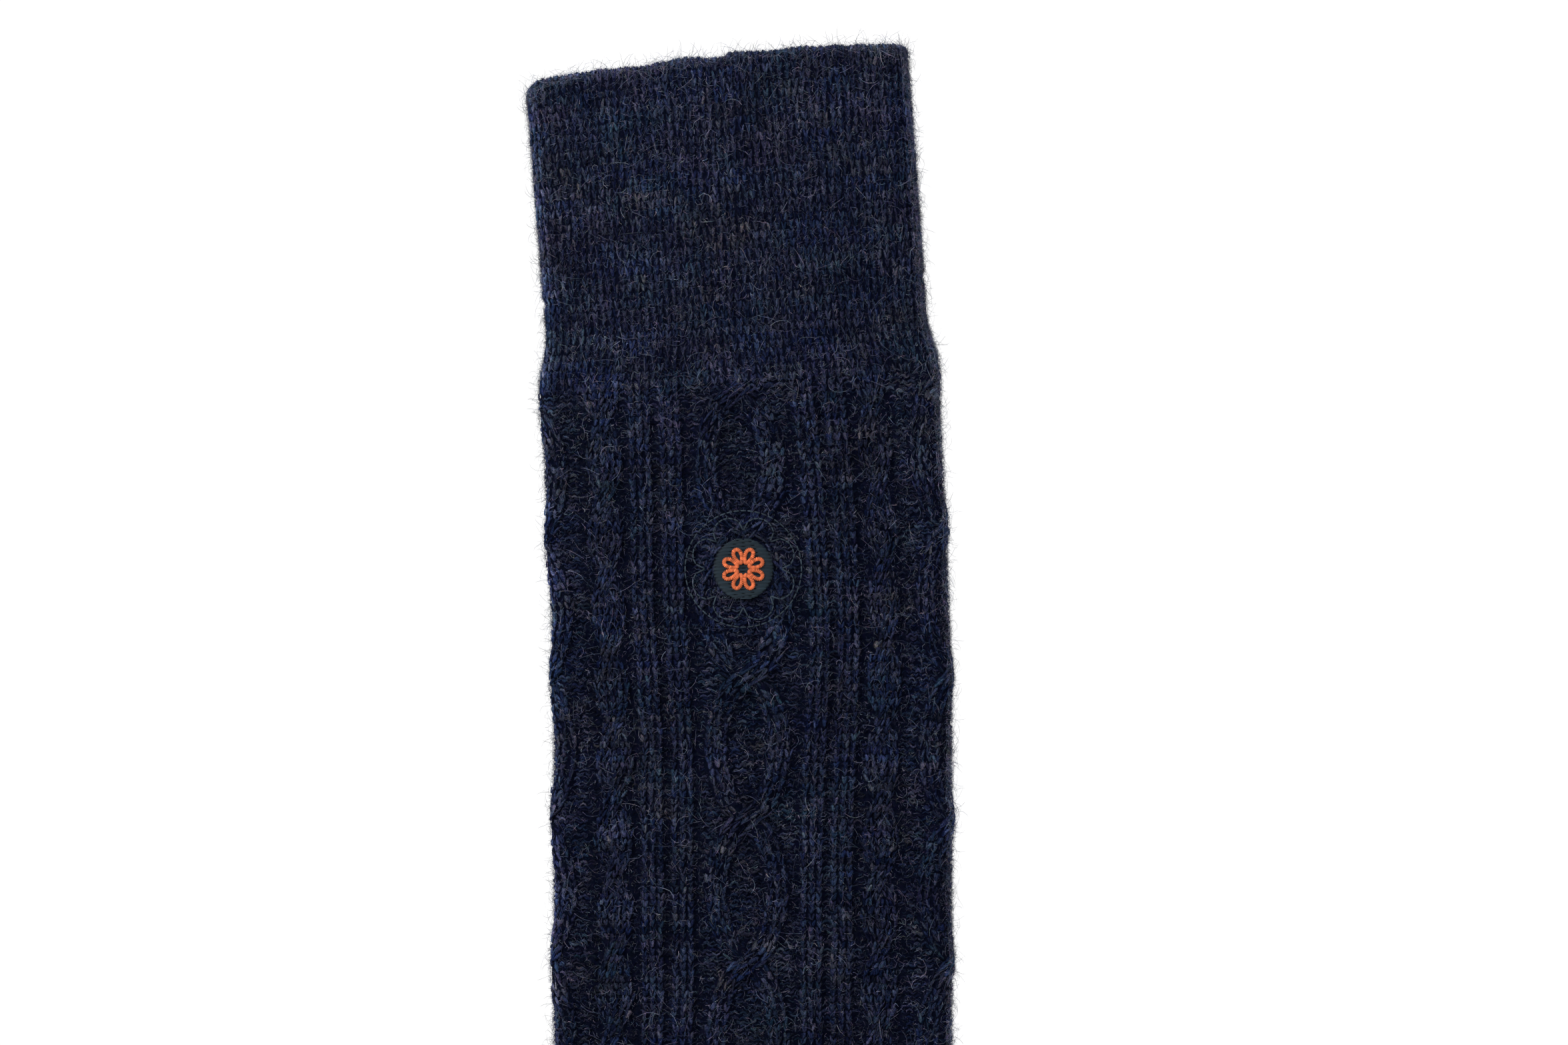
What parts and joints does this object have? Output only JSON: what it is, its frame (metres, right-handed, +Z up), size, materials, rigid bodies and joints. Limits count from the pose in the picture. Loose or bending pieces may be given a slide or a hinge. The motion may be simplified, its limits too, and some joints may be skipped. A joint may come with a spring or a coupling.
{
  "type": "cable knit sock",
  "caption": "Long cable knit sock lying flat, with a plain turned cuff, chain cables and ribs on the leg, a rounded heel, a closed toe and a small round embroidered emblem.",
  "frame": {"origin": "on the flat underside, on the line of the cabled leg's middle and half way along the leg, in the rest_face mount", "axes": "+Z up through the sock's thickness from the surface that it lies on, +Y along the leg towards the cuff's mouth, -X towards the instep and the toe"},
  "size_m": [0.2322, 0.3593, 0.0142],
  "materials": {
    "navy_wool": "matte",
    "teal_thread": "satin",
    "orange_thread": "satin"
  },
  "bodies": {
    "root": {"cuff": "navy_wool", "leg": "navy_wool", "heel": "navy_wool", "foot": "navy_wool", "toe": "navy_wool", "emblem_patch": "teal_thread", "emblem_motif": "orange_thread"}
  },
  "joints": []
}
